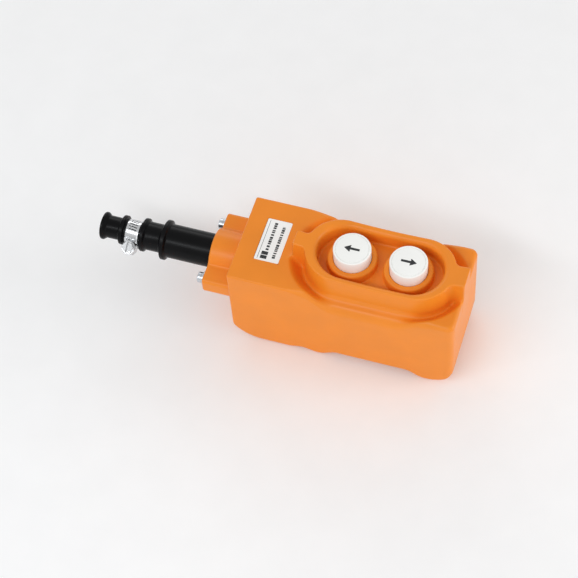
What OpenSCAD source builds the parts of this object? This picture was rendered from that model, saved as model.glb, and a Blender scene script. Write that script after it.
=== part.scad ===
// Two-button pendant control station for an electric chain hoist.
// It lies on its back: +Z is the button face, +X runs from the cable end to the far end.

/* [Housing] */
// Length of the moulded housing without the cable cap
body_len = 150; // [146:1:156]
// Width of the housing across its sides
body_w = 64.5; // [62:0.5:68]
// Height of the label face above the surface the housing lies on
body_h = 72; // [71:0.5:74]
// Height of the moat's floor around the button guard
deck_h = 62.5; // [62:0.5:64]
// Height of the far end of the button face
far_h = 70; // [69:0.5:71]
// Wall thickness of the moulding
wall = 3.2; // [2.8:0.1:3.4]

/* [Button guard] */
// Height of the guard's rim at its lowest, beside the buttons
rim_low = 81.2; // [80.7:0.1:81.7]
// Radius of the sweep that lifts the rim towards the tabs
rim_sweep_r = 406; // [400:2:440]
// Outer radius of the guard's round ends
guard_r = 23.6; // [23:0.1:24.5]
// Half the width of the space inside the guard
well_r = 19; // [18.5:0.1:19.5]
// Height of the floor inside the guard
well_floor = 70; // [69.5:0.5:70.5]
// Height of the raised collar around each button
collar_top = 77.5; // [77:0.5:78]
// Outer radius of each collar
collar_r = 16; // [15.5:0.1:16.5]
// Width of the tab at the cable end of the guard
near_tab_w = 11; // [9:0.5:13]
// Width of the tab at the far end of the guard
far_tab_w = 15; // [12:0.5:16]

/* [Buttons] */
// Distance from the housing's cable end to the first button
button_x = 75; // [74.5:0.5:75.5]
// Distance between the two buttons
button_pitch = 37; // [36.5:0.5:37.5]
// Radius of a button cap
button_r = 12.2; // [12:0.1:12.4]
// Height of a button's face above the resting surface
button_top = 86.5; // [86:0.5:87.5]
// Travel of a button when pressed
button_travel = 4; // [3:0.5:4]

/* [Cable end] */
// Height of the sleeve's axis
axis_h = 45.5; // [45:0.5:46]
// Length that the cap's neck stands out from the housing
neck_len = 20; // [18:1:22]
// Radius of the cap's neck
neck_r = 16; // [15.5:0.1:16.5]
// Radius of the cable bore through the sleeve
cable_r = 5.5; // [4.5:0.1:5.7]
// Distance from the middle to each cap screw
cap_screw_y = 22; // [21.5:0.1:22.2]

/* [Sleeve] */
// Length of the sleeve outside the housing
sleeve_len = 99; // [98:0.5:100]
// Radius of the sleeve at its root
sleeve_r = 11.4; // [11.2:0.1:11.5]

/* [Hidden] */

$fn = 96;
eps = 0.05;            // play between fixed parts that touch
cut = 1;               // how far a cutting shape runs past the face it cuts

// The origin is under the middle of the whole object, sleeve included.
x_shift = (body_len - sleeve_len) / 2;

// Outline of the moulded back: a heel, a palm hollow, a finger groove and a rounded toe.
heel_len = 20;
heel_rise = 12;
heel_r = (heel_len * heel_len + heel_rise * heel_rise) / (2 * heel_rise);
toe_len = 18;
toe_rise = 11;
toe_r = (toe_len * toe_len + toe_rise * toe_rise) / (2 * toe_rise);
palm_x = 48;
palm_half = 9;
palm_depth = 2;
palm_r = (palm_half * palm_half + palm_depth * palm_depth) / (2 * palm_depth);
groove_x0 = 59;
groove_x1 = 131;
groove_depth = 5;
groove_run = 13;
groove_r = (groove_run * groove_run + groove_depth * groove_depth) / (2 * groove_depth);

// Front outline: label plateau, ramp down to the moat's level, ramp up to the far end
plateau_len = 54;
ramp_len = 18;
far_ramp_x = 112;
far_ramp_len = 14;
side_r_top = 3;        // how far the rounding of the front edges would rise above the face
edge_r = 4;            // radius of the long edges
end_r = 5;
guard_foot_r = 24.3;   // radius of the guard's wall where it meets the moat
guard_base = 61;       // the guard starts inside the deck
moat_r = 26;           // radius of the moat at its floor
moat_top_r = 35.5;     // and at the height of the label face
near_tab_x = 37;       // where the tab at the cable end starts
guard_top = 87;        // the guard is made this high, then swept down to its rim
rim_low_x = 97;        // where the rim is lowest

// Inside of the housing
cavity_w = body_w - 2 * wall;
cavity_back = groove_depth + wall;
cavity_front = deck_h - wall;
cavity_x0 = 5;
rebate_depth = 4.2;
rebate_w = 57.2;
rebate_z0 = 17.5;
rebate_z1 = 66.5;
mouth_w = 51;
mouth_z0 = 22;
mouth_z1 = 61.8;
under_well = 3;        // thickness of the guard's floor
bore_play = 0.05;      // running clearance of the button caps

// End cap
plate_t = 3;
boss_y0 = 13;
boss_y1 = 28.3;
boss_half_h = 6.3;
boss_r = 3;
cap_hole_r = 2.25;
cap_collar_t = 3;
cap_collar_r = 16.2;
sleeve_flange_r = 12.9;
retainer_t = 2;
retainer_screw_y = 14.6;
retainer_screw_r = 1;
retainer_screw_len = 7;
retainer_head_r = 1.9;
retainer_head_h = 1.2;
lug_y = 11;            // the lugs on the cap carry the near end of the contact tray
lug_w = 8;
lug_h = 6;
lug_len = 14;
lug_hole_r = 1.5;
lug_hole_depth = 8;
screw4_r = 2;
washer_t = 1.8;        // a flat washer and a spring washer
washer_r = 4.6;
head_h = 3.2;
head_r = 3.6;
cross_len = 4.8;       // cross recess in the heads of the cap screws
cross_w = 0.9;
cross_depth = 1.3;
cap_screw_len = 21;    // how far the cap screws reach past the neck's length
chassis_screw_x = 12;
insert_r = 3;
insert_len = 11;
pillar_x0 = 8.5;
pillar_len = 15;
pillar_y0 = 17.5;
pillar_half_h = 5.5;

// Sleeve stations, as distances from the housing's cable end, and radii
tip_flange_t = 2.6;
tip_flange_r = 9.3;
tip_r = 7.5;
rib_t = 2.6;
rib2_x = 84;
rib2_r = 10;
seat_r = 8.2;
rib3_x = 69.3;
rib3_r = 11.3;
mid_r = 9.6;
rib4_x = 54;
rib4_r = 13.5;

// Hose clamp
band_w = 9;
band_t = 0.7;
band_r = seat_r + eps;
band_x = (rib2_x + rib3_x) / 2;
clamp_angle = 117;     // from the top towards -Y
worm_r = 2.1;
worm_axis = band_r + band_t + 0.4 + worm_r;
housing_len = 10;
slot_count = 13;
slot_step = 13;        // degrees between the slots of the band
slot_start = 50;
slot_lean = 12;
slot_size = [5.6, 0.8, 3];
worm_wall = 0.8;       // sheet around the worm
worm_play = 0.08;
worm_groove_count = 5;
worm_pitch = 1.8;
worm_groove_w = 0.7;
worm_groove_depth = 0.4;
hex_r = 4.1;
hex_h = 3;
hex_flange_r = 4.6;
hex_flange_t = 0.8;
hex_gap = 1;         // between the housing and the screw's head
driver_slot_w = 1;
driver_slot_depth = 1.2;

// Contact tray and the two contact blocks
tray_t = 1.5;
tray_z = 36;
tray_w = 31;
tray_x0 = 9;
tray_x1 = 138;
rest_w = 20;           // rest for the tray's far end
rest_overlap = 4;
rail_x = 38;           // side rails of the tray
rail_len = 18;
rail_h = 9;
tray_hole_r = 1.6;
plunger_hole_r = 3.2;
earth_hole_r = 2.05;
block_w = 31;
block_len = 24;
block_z0 = tray_z + tray_t;
block_z1 = 58;
block_wall = 2;
slot_z0 = 42;
slot_z1 = 51;
strip_t = 1;
strip_w = 7;
ledge_w = 6;
ledge_side = 1.5;
terminal_y = block_w / 2 + 3.2;
cord_bar_x = 26;
cord_bar_y = 10.5;
cord_bar_w = 8;
cord_bar_len = 28;
cord_bar_rise = 8;     // how far the bar reaches above the cord's axis
cord_split = 1;        // gap between the two halves of the bar
cord_screw_r = 1.5;
cord_screw_len = 19;
chassis_screw_r = 1.45;
chassis_screw_len = 6.5;
earth_screw_r = 2;
earth_screw_len = 6;
earth_x = 46;
plunger_r = 3.25;
plunger_tip_r = 2.2;
shoulder_z = 49.5;
bridge_t = 1;
plunger_bottom = 40;
spring_seat = 55;
cap_skirt_z = 64.7;
cap_flange_z = 66.7;
cap_flange_r = 14;
cap_wall = 2.2;
cap_top_t = 3;
cap_boss_r = 5.5;
cap_boss_z = 76;
spring_r = 7;
spring_wire = 0.6;
spring_turns = 7;
arrow_depth = 0.3;
arrow_tail = -5.2;     // the arrow runs from its tail to its tip along X
arrow_neck = 1.3;
arrow_tip = 5.4;
arrow_shaft = 0.85;    // half width of the shaft
arrow_barb = 2.8;      // half width of the head
ring_r = 11;           // fine ring cut into a button's face
ring_w = 0.4;
ring_depth = 0.4;
bridge_w = 5.2;
bridge_len = 24.8;
contact_y = 9.5;
contact_r = 1.8;
contact_h = 0.7;
clip_t = 0.78;
clip_r = 3.8;
clip_slot = 1.8;
slide_play = 0.06;     // clearance between the plunger and the contact block
spring_play = 1.2;
contact_slot_x = -4.6; // the slot for the bridge is open towards the far end
strip_y0 = 6;
terminal_r = 1.2;
terminal_len = 4.5;
terminal_hole_depth = 7;

button_xs = [button_x, button_x + button_pitch];

// The guard's round ends lie further apart than the buttons do.
guard_pitch = 50.6;
guard_mid = button_x + button_pitch / 2;
guard_xs = [guard_mid - guard_pitch / 2, guard_mid + guard_pitch / 2];
// Inside, the round ends sit closer together, so the rim is wider at its ends.
well_pitch = 44.6;

// Seal ring under the guard's floor, around each button
seal_r = 14.6;
seal_t = 1.2;
seal_play = 0.35;

// Label, on the face beside the guard
label_x = 21.3;
label_y = 1.5;
label_len = 16.6;
label_w = 32.6;
label_recess = 0.4;
label_t = 0.35;
print_t = 0.05;
rule_x = 2;            // a printed rule across the label
rule_w = 0.3;
emblem_x = 4.6;        // a plain printed block
emblem_y = 2.2;
emblem_size = [3.6, 4.4, print_t];
bar_size = [2, 1.6, print_t];
bar_pitch = 2.5;
bar_rows = [[5.4, 8.4, 9], [11, 3, 10]];   // x, first y and number of bars

// Puts a shape given in housing coordinates into the part's own frame.
module at_body() {
    translate([-x_shift, 0, 0]) children();
}

// A cylinder along +X that starts at the given point.
module x_rod(x, y, z, r, len) {
    translate([x, y, z]) rotate([0, 90, 0]) cylinder(r = r, h = len);
}

// A slab with rounded corners in the YZ plane, from x to x + len.
module yz_slab(x, len, y0, y1, z0, z1, r) {
    translate([x, 0, 0]) rotate([90, 0, 90]) linear_extrude(len) rounded_box(y0, y1, z0, z1, r);
}

module rounded_box(x0, x1, y0, y1, r) {
    translate([x0 + r, y0]) square([x1 - x0 - 2 * r, y1 - y0]);
    translate([x0, y0 + r]) square([x1 - x0, y1 - y0 - 2 * r]);
    for (x = [x0 + r, x1 - r], y = [y0 + r, y1 - r]) translate([x, y]) circle(r);
}

// A racetrack inside the guard; its round ends are the well's pitch apart.
module racetrack(r, z0, z1) {
    for (s = [-1, 1]) translate([guard_mid + s * well_pitch / 2, 0, z0])
        cylinder(r = r, h = z1 - z0);
    translate([guard_mid - well_pitch / 2, -r, z0]) cube([well_pitch, 2 * r, z1 - z0]);
}

// The guard's outer racetrack, with a drafted wall that changes width towards its foot.
module drafted_racetrack(r_foot, r_top, z0, z1) {
    for (x = guard_xs) translate([x, 0, z0]) cylinder(r1 = r_foot, r2 = r_top, h = z1 - z0);
    translate([guard_xs[0], 0, z0]) rotate([90, 0, 90]) linear_extrude(guard_pitch)
        polygon([[-r_foot, 0], [r_foot, 0], [r_top, z1 - z0], [-r_top, z1 - z0]]);
}

// Side view of the housing.
module side_outline() {
    difference() {
        union() {
            polygon([
                [0, heel_rise], [heel_len, 0], [body_len - toe_len, 0], [body_len, toe_rise],
                [body_len, far_h], [far_ramp_x + far_ramp_len, far_h],
                [far_ramp_x, deck_h], [plateau_len + ramp_len, deck_h],
                [plateau_len, body_h], [0, body_h]
            ]);
            intersection() {
                translate([heel_len, heel_r]) circle(heel_r);
                square([heel_len, heel_rise]);
            }
            intersection() {
                translate([body_len - toe_len, toe_r]) circle(toe_r);
                translate([body_len - toe_len, 0]) square([toe_len, toe_rise]);
            }
        }
        translate([palm_x, palm_depth - palm_r]) circle(palm_r);
        translate([groove_x0 + groove_run, -cut])
            square([groove_x1 - groove_x0 - 2 * groove_run, groove_depth + cut]);
        for (x = [groove_x0 + groove_run, groove_x1 - groove_run])
            translate([x, groove_depth - groove_r]) circle(groove_r);
    }
}

// Seen from the front, the far end has rounded corners.
module plan_outline() {
    translate([-end_r, 0]) rounded_box(0, body_len + end_r, -body_w / 2, body_w / 2, end_r);
}

// The slab stands a hair proud of the flat faces, so its rounded edges cross them cleanly.
module housing_block() {
    hair = 0.03;
    half = body_w / 2 + hair;
    intersection() {
        translate([0, body_w / 2 + cut, 0]) rotate([90, 0, 0])
            linear_extrude(body_w + 2 * cut) side_outline();
        yz_slab(-cut, body_len + 2 * cut, -half, half, -hair, body_h + side_r_top, edge_r);
        linear_extrude(body_h + cut) plan_outline();
    }
}

// The rim sweeps up from the buttons towards the tabs.
module guard_and_tabs() {
    difference() {
        union() {
            drafted_racetrack(guard_foot_r, guard_r, guard_base, guard_top);
            translate([near_tab_x, -near_tab_w / 2, guard_base])
                cube([guard_xs[0] - near_tab_x, near_tab_w, guard_top - guard_base]);
            translate([guard_xs[1], -far_tab_w / 2, guard_base])
                cube([body_len - guard_xs[1], far_tab_w, guard_top - guard_base]);
        }
        translate([rim_low_x, body_w / 2, rim_low + rim_sweep_r]) rotate([90, 0, 0])
            cylinder(r = rim_sweep_r, h = body_w);
    }
}

module button_collars() {
    for (x = button_xs) translate([x, 0, well_floor - cut])
        cylinder(r = collar_r, h = collar_top - well_floor + cut);
}

module housing_cavity() {
    // main chamber
    translate([heel_len, -cavity_w / 2, cavity_back])
        cube([body_len - wall - heel_len, cavity_w, cavity_front - cavity_back]);
    // neck of the chamber, above the rounded heel
    translate([cavity_x0, -cavity_w / 2, mouth_z0])
        cube([heel_len, cavity_w, mouth_z1 - mouth_z0]);
    // space under the buttons
    racetrack(well_r + 1, cavity_front - cut, well_floor - under_well);
    // mouth and the rebate that takes the end cap
    translate([0, -mouth_w / 2, mouth_z0]) cube([cavity_x0 + cut, mouth_w, mouth_z1 - mouth_z0]);
    yz_slab(-cut, rebate_depth + cut, -rebate_w / 2, rebate_w / 2, rebate_z0, rebate_z1, boss_r);
}

// Pillars that carry the threaded inserts of the cap screws.
module insert_pillars() {
    for (s = [-1, 1]) translate([pillar_x0, s > 0 ? pillar_y0 : -body_w / 2 + wall / 2,
        axis_h - pillar_half_h])
        cube([pillar_len, body_w / 2 - wall / 2 - pillar_y0, 2 * pillar_half_h]);
}

// Rest for the far end of the contact tray.
module tray_rest() {
    translate([tray_x1 - rest_overlap, -rest_w / 2, cavity_back - cut])
        cube([body_len - wall / 2 - tray_x1 + rest_overlap, rest_w,
            tray_z - eps - cavity_back + cut]);
}

module body_shell() {
    color("darkorange") at_body() difference() {
        union() {
            difference() {
                union() {
                    difference() {
                        housing_block();
                        drafted_racetrack(moat_r, moat_top_r, deck_h, body_h + cut);
                    }
                    guard_and_tabs();
                }
                racetrack(well_r, well_floor, guard_top + cut);
                housing_cavity();
            }
            button_collars();
            insert_pillars();
            tray_rest();
        }
        for (x = button_xs) {
            translate([x, 0, cavity_front]) cylinder(r = button_r + bore_play, h = guard_top);
            translate([x, 0, cavity_front])
                cylinder(r = seal_r, h = well_floor - under_well + seal_t - cavity_front);
        }
        for (s = [-1, 1]) x_rod(pillar_x0 - cut, s * cap_screw_y, axis_h, insert_r,
            insert_len + cut);
        for (s = [-1, 1]) x_rod(pillar_x0, s * cap_screw_y, axis_h, cap_hole_r, pillar_len - 2 * cut);
        translate([label_x - label_len / 2, label_y - label_w / 2, body_h - label_recess])
            cube([label_len, label_w, label_recess + cut]);
    }
}
module label_plate() {
    color("white") at_body()
        translate([label_x - label_len / 2 + eps, label_y - label_w / 2 + eps, body_h - label_recess])
        cube([label_len - 2 * eps, label_w - 2 * eps, label_t]);
}

// A generic mark: a rule, a block and rows of short bars.
module label_print() {
    color("black") at_body()
        translate([label_x - label_len / 2, label_y - label_w / 2, body_h - label_recess + label_t]) {
        translate([rule_x, cut, 0]) cube([rule_w, label_w - 2 * cut, print_t]);
        translate([emblem_x, emblem_y, 0]) cube(emblem_size);
        for (row = bar_rows, i = [0 : row[2] - 1])
            translate([row[0], row[1] + i * bar_pitch, 0]) cube(bar_size);
    }
}

// ---- cable end ----

module end_cap() {
    color("orange") at_body() difference() {
        union() {
            yz_slab(0, plate_t, -rebate_w / 2 + eps, rebate_w / 2 - eps, rebate_z0 + eps,
                rebate_z1 - eps, boss_r);
            x_rod(-neck_len, 0, axis_h, neck_r, neck_len + cut);
            for (s = [-1, 1]) yz_slab(-neck_len, neck_len + cut,
                s > 0 ? boss_y0 : -boss_y1, s > 0 ? boss_y1 : -boss_y0,
                axis_h - boss_half_h, axis_h + boss_half_h, boss_r);
            x_rod(plate_t - cut, 0, axis_h, cap_collar_r, cap_collar_t + cut);
            for (s = [-1, 1]) translate([plate_t - cut, s * lug_y - lug_w / 2, tray_z - lug_h])
                cube([lug_len + cut, lug_w, lug_h]);
        }
        x_rod(-neck_len - cut, 0, axis_h, sleeve_r + eps, neck_len + plate_t + 2 * cut);
        x_rod(plate_t, 0, axis_h, sleeve_flange_r + eps, lug_len + cut);
        for (s = [-1, 1]) x_rod(-neck_len - cut, s * cap_screw_y, axis_h, cap_hole_r,
            neck_len + plate_t + 2 * cut);
        for (s = [-1, 1]) x_rod(plate_t + cap_collar_t - retainer_screw_len,
            s * retainer_screw_y, axis_h, retainer_screw_r + eps, retainer_screw_len + cut);
        for (s = [-1, 1]) translate([chassis_screw_x, s * lug_y, tray_z - lug_hole_depth])
            cylinder(r = lug_hole_r, h = lug_hole_depth + cut);
    }
}
module cap_gasket() {
    color("dimgray") at_body() difference() {
        yz_slab(plate_t, rebate_depth - plate_t, -rebate_w / 2 + eps, rebate_w / 2 - eps,
            rebate_z0 + eps, rebate_z1 - eps, boss_r);
        yz_slab(plate_t - cut, rebate_depth, -mouth_w / 2, mouth_w / 2, mouth_z0, mouth_z1, boss_r);
    }
}

module cap_screws() {
    color("gainsboro") at_body() for (s = [-1, 1]) difference() {
        union() {
            x_rod(-neck_len - washer_t, s * cap_screw_y, axis_h, screw4_r, neck_len + cap_screw_len);
            x_rod(-neck_len - washer_t - head_h, s * cap_screw_y, axis_h, head_r, head_h);
        }
        translate([-neck_len - washer_t - head_h - cut, s * cap_screw_y, axis_h])
            for (a = [0, 90]) rotate([a, 0, 0]) translate([0, -cross_len / 2, -cross_w / 2])
                cube([cut + cross_depth, cross_len, cross_w]);
    }
}
module cap_washers() {
    color("silver") at_body() for (s = [-1, 1]) difference() {
        x_rod(-neck_len - washer_t, s * cap_screw_y, axis_h, washer_r, washer_t);
        x_rod(-neck_len - 2 * cut, s * cap_screw_y, axis_h, cap_hole_r, 4 * cut);
    }
}

module cap_inserts() {
    color("goldenrod") at_body() for (s = [-1, 1]) difference() {
        x_rod(pillar_x0, s * cap_screw_y, axis_h, insert_r - eps, insert_len - eps);
        x_rod(pillar_x0 - cut, s * cap_screw_y, axis_h, screw4_r + eps, insert_len + 2 * cut);
    }
}

// Half section of the sleeve: first number is the distance from its tip, second the radius.
module cable_sleeve() {
    tip = -sleeve_len;
    color("#1c1c1e") at_body() translate([0, 0, axis_h]) rotate([0, 90, 0]) rotate_extrude()
        polygon([
            [cable_r, tip], [tip_flange_r, tip], [tip_flange_r, tip + tip_flange_t],
            [tip_r, tip + tip_flange_t + 1.2], [tip_r, -rib2_x - rib_t / 2 - 1],
            [rib2_r, -rib2_x - rib_t / 2], [rib2_r, -rib2_x + rib_t / 2],
            [seat_r, -rib2_x + rib_t / 2], [seat_r, -rib3_x - rib_t / 2],
            [rib3_r, -rib3_x - rib_t / 2], [rib3_r, -rib3_x + rib_t / 2],
            [mid_r, -rib3_x + rib_t / 2 + 1], [mid_r, -rib4_x - rib_t / 2 - 1],
            [rib4_r, -rib4_x - rib_t / 2], [rib4_r, -rib4_x + rib_t / 2],
            [sleeve_r, -rib4_x + rib_t / 2 + 1], [sleeve_r, plate_t],
            [sleeve_flange_r, plate_t], [sleeve_flange_r, plate_t + cap_collar_t],
            [cable_r, plate_t + cap_collar_t]
        ]);
}

module sleeve_retainer() {
    x0 = plate_t + cap_collar_t;
    color("silver") at_body() difference() {
        x_rod(x0, 0, axis_h, cap_collar_r, retainer_t);
        x_rod(x0 - cut, 0, axis_h, cable_r + 2, retainer_t + 2 * cut);
        for (s = [-1, 1]) x_rod(x0 - cut, s * retainer_screw_y, axis_h,
            retainer_screw_r + eps, retainer_t + 2 * cut);
        translate([x0 - cut, -cap_collar_r, axis_h - 2 * cap_collar_r])
            cube([retainer_t + 2 * cut, 2 * cap_collar_r, tray_z + tray_t - axis_h + 2 * cap_collar_r]);
    }
}

module retainer_screws() {
    x0 = plate_t + cap_collar_t + retainer_t;
    color("gainsboro") at_body() for (s = [-1, 1]) {
        x_rod(x0 - retainer_screw_len, s * retainer_screw_y, axis_h, retainer_screw_r,
            retainer_screw_len + 2 * eps);
        x_rod(x0, s * retainer_screw_y, axis_h, retainer_head_r, retainer_head_h);
    }
}

// ---- hose clamp ----

// Children are drawn with +Z away from the sleeve at the clamp's screw.
module at_clamp() {
    at_body() translate([-band_x, 0, axis_h]) rotate([clamp_angle, 0, 0]) children();
}

module clamp_band() {
    color("lightgray") at_clamp() difference() {
        rotate([0, 90, 0]) difference() {
            translate([0, 0, -band_w / 2]) cylinder(r = band_r + band_t, h = band_w);
            translate([0, 0, -band_w / 2 - cut]) cylinder(r = band_r, h = band_w + 2 * cut);
        }
        for (i = [0 : slot_count - 1]) rotate([-slot_start - i * slot_step, 0, 0])
            translate([0, 0, band_r + band_t]) rotate([0, 0, slot_lean])
            cube(slot_size, center = true);
    }
}

module clamp_housing() {
    base = band_r + band_t;
    color("silver") at_clamp() difference() {
        union() {
            translate([-band_w / 2, -housing_len / 2, base + eps])
                cube([band_w, housing_len, 1.2]);
            translate([0, housing_len / 2, worm_axis]) rotate([90, 0, 0])
                cylinder(r = worm_r + worm_wall, h = housing_len);
            translate([-worm_r - worm_wall, -housing_len / 2, base + 4 * eps])
                cube([2 * (worm_r + worm_wall), housing_len, worm_axis - base]);
        }
        translate([0, housing_len / 2 + cut, worm_axis]) rotate([90, 0, 0])
            cylinder(r = worm_r + worm_play, h = housing_len + 2 * cut);
        rotate([0, 90, 0]) translate([0, 0, -band_w]) cylinder(r = base + eps, h = 2 * band_w);
    }
}

// A rod of the given radius along the clamp screw, from y back towards its tip.
module worm_rod(y, r, len) {
    translate([0, y, 0]) rotate([90, 0, 0]) cylinder(r = r, h = len);
}

module clamp_screw() {
    head_y = housing_len / 2 + hex_gap;
    hex_y = head_y + hex_flange_t + hex_h;
    color("whitesmoke") at_clamp() translate([0, 0, worm_axis]) difference() {
        union() {
            worm_rod(head_y, worm_r, housing_len + 2 * hex_gap);
            worm_rod(head_y + hex_flange_t, hex_flange_r, hex_flange_t);
            translate([0, hex_y, 0]) rotate([90, 0, 0]) cylinder(r = hex_r, h = hex_h, $fn = 6);
        }
        for (i = [0 : worm_groove_count - 1]) difference() {
            worm_rod((i - 2) * worm_pitch, worm_r + cut, worm_groove_w);
            worm_rod((i - 2) * worm_pitch + cut, worm_r - worm_groove_depth,
                worm_groove_w + 2 * cut);
        }
        translate([-driver_slot_w / 2, hex_y - driver_slot_depth, -hex_flange_r - cut])
            cube([driver_slot_w, driver_slot_depth + cut, 2 * (hex_flange_r + cut)]);
    }
}

// ---- contact tray ----

module contact_chassis() {
    color("lightsteelblue") at_body() difference() {
        union() {
            translate([tray_x0, -tray_w / 2, tray_z]) cube([tray_x1 - tray_x0, tray_w, tray_t]);
            for (s = [-1, 1]) translate([rail_x, s > 0 ? tray_w / 2 - tray_t : -tray_w / 2, tray_z])
                cube([rail_len, tray_t, rail_h]);
        }
        for (x = button_xs) translate([x, 0, tray_z - cut])
            cylinder(r = plunger_hole_r, h = tray_t + 2 * cut);
        for (s = [-1, 1]) translate([chassis_screw_x, s * lug_y, tray_z - cut])
            cylinder(r = tray_hole_r, h = rail_h + cut);
        for (s = [-1, 1]) translate([cord_bar_x, s * cord_bar_y, tray_z - cut])
            cylinder(r = tray_hole_r, h = rail_h + cut);
        translate([earth_x, 0, tray_z - cut]) cylinder(r = earth_hole_r, h = rail_h + cut);
    }
}
// Head and shank of a small screw that points down, with a slot in its head.
module small_screw(x, y, z, r, len) {
    difference() {
        union() {
            translate([x, y, z]) cylinder(r = 1.8 * r, h = 1.2 * r);
            translate([x, y, z - len]) cylinder(r = r, h = len + 0.1);
        }
        translate([x - 0.3, y - 2 * r, z + 0.7 * r]) cube([0.6, 4 * r, r]);
    }
}

module chassis_screws() {
    color("gainsboro") at_body() for (s = [-1, 1])
        small_screw(chassis_screw_x, s * lug_y, tray_z + tray_t, chassis_screw_r, chassis_screw_len);
}

module cord_clamp_bar() {
    z0 = tray_z + tray_t;
    x0 = cord_bar_x - cord_bar_w / 2;
    color("dimgray") at_body() difference() {
        translate([x0, -cord_bar_len / 2, z0])
            cube([cord_bar_w, cord_bar_len, axis_h - z0 + cord_bar_rise]);
        x_rod(x0 - cut, 0, axis_h, cable_r, cord_bar_w + 2 * cut);
        translate([x0 - cut, -cord_bar_len / 2 - cut, axis_h - cord_split])
            cube([cord_bar_w + 2 * cut, cord_bar_len + 2 * cut, cord_split]);
        for (s = [-1, 1]) translate([cord_bar_x, s * cord_bar_y, tray_z])
            cylinder(r = tray_hole_r, h = axis_h);
    }
}

module cord_clamp_screws() {
    color("gainsboro") at_body() for (s = [-1, 1])
        small_screw(cord_bar_x, s * cord_bar_y, axis_h + cord_bar_rise, cord_screw_r, cord_screw_len);
}

module earth_screw() {
    color("gold") at_body() small_screw(earth_x, 0, tray_z + tray_t, earth_screw_r, earth_screw_len);
}

// ---- one push button, drawn about its own axis ----

module button_cap() {
    color("white") difference() {
        union() {
            translate([0, 0, cap_skirt_z]) cylinder(r = button_r, h = button_top - cap_skirt_z);
            translate([0, 0, cap_skirt_z]) cylinder(r = cap_flange_r, h = cap_flange_z - cap_skirt_z);
        }
        difference() {
            translate([0, 0, cap_skirt_z - cut])
                cylinder(r = button_r - cap_wall, h = button_top - cap_top_t - cap_skirt_z + cut);
            translate([0, 0, cap_boss_z]) cylinder(r = cap_boss_r, h = button_top);
        }
        translate([0, 0, cap_boss_z - cut])
            cylinder(r = plunger_r + eps, h = button_top - cap_top_t - cap_boss_z + cut);
        translate([0, 0, button_top - ring_depth]) difference() {
            cylinder(r = ring_r, h = cut);
            translate([0, 0, -cut]) cylinder(r = ring_r - ring_w, h = 3 * cut);
        }
        translate([0, 0, button_top - arrow_depth]) linear_extrude(cut) arrow_outline(0);
    }
}

// An arrow that points along +X, drawn smaller by the inset.
module arrow_outline(inset) {
    shaft = arrow_shaft - inset;
    barb = arrow_barb - 2 * inset;
    tail = arrow_tail + inset;
    tip = arrow_tip - 2 * inset;
    polygon([
        [tail, -shaft], [arrow_neck, -shaft], [arrow_neck, -barb], [tip, 0],
        [arrow_neck, barb], [arrow_neck, shaft], [tail, shaft]
    ]);
}

module button_arrow() {
    play = 0.02;
    color("black") translate([0, 0, button_top - arrow_depth + play / 2])
        linear_extrude(arrow_depth) arrow_outline(play);
}

module plunger() {
    top = button_top - cap_top_t - eps;
    color("dimgray") {
        translate([0, 0, shoulder_z]) cylinder(r = plunger_r, h = top - shoulder_z);
        translate([0, 0, plunger_bottom])
            cylinder(r = plunger_tip_r, h = shoulder_z - plunger_bottom + 2 * eps);
    }
}

module bridge() {
    z0 = shoulder_z - bridge_t;
    color("peru") difference() {
        union() {
            translate([-bridge_w / 2, -bridge_len / 2, z0]) cube([bridge_w, bridge_len, bridge_t]);
            for (s = [-1, 1]) translate([0, s * contact_y, z0 - contact_h + 2 * eps])
                cylinder(r = contact_r, h = contact_h);
        }
        translate([0, 0, z0 - cut]) cylinder(r = plunger_tip_r + 0.02, h = bridge_t + 2 * cut);
    }
}

module bridge_clip() {
    z0 = shoulder_z - bridge_t - clip_t - 0.02;
    color("silver") difference() {
        translate([0, 0, z0]) cylinder(r = clip_r, h = clip_t);
        translate([0, 0, z0 - cut]) cylinder(r = plunger_tip_r + 0.02, h = 3 * cut);
        translate([0, -clip_slot / 2, z0 - cut]) cube([clip_r + cut, clip_slot, 3 * cut]);
    }
}

// A round wire wound on a helix, closed at both ends.
module return_spring() {
    steps = 14;
    sides = 6;
    rings = spring_turns * steps;
    z0 = spring_seat + spring_wire + eps;
    z1 = button_top - cap_top_t - spring_wire - eps;
    points = [
        for (i = [0 : rings]) let (
            a = 360 * i / steps,
            t = i / rings,
            z = z0 + (z1 - z0) * t
        ) for (j = [0 : sides - 1]) let (
            b = 360 * j / sides,
            r = spring_r + spring_wire * cos(b)
        ) [r * cos(a), r * sin(a), z + spring_wire * sin(b)]
    ];
    tube = [
        for (i = [0 : rings - 1], j = [0 : sides - 1]) let (k = (j + 1) % sides)
            [i * sides + j, i * sides + k, (i + 1) * sides + k, (i + 1) * sides + j]
    ];
    ends = [
        [for (j = [sides - 1 : -1 : 0]) j],
        [for (j = [0 : sides - 1]) rings * sides + j]
    ];
    color("silver") polyhedron(points = points, faces = concat(tube, ends));
}

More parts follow.
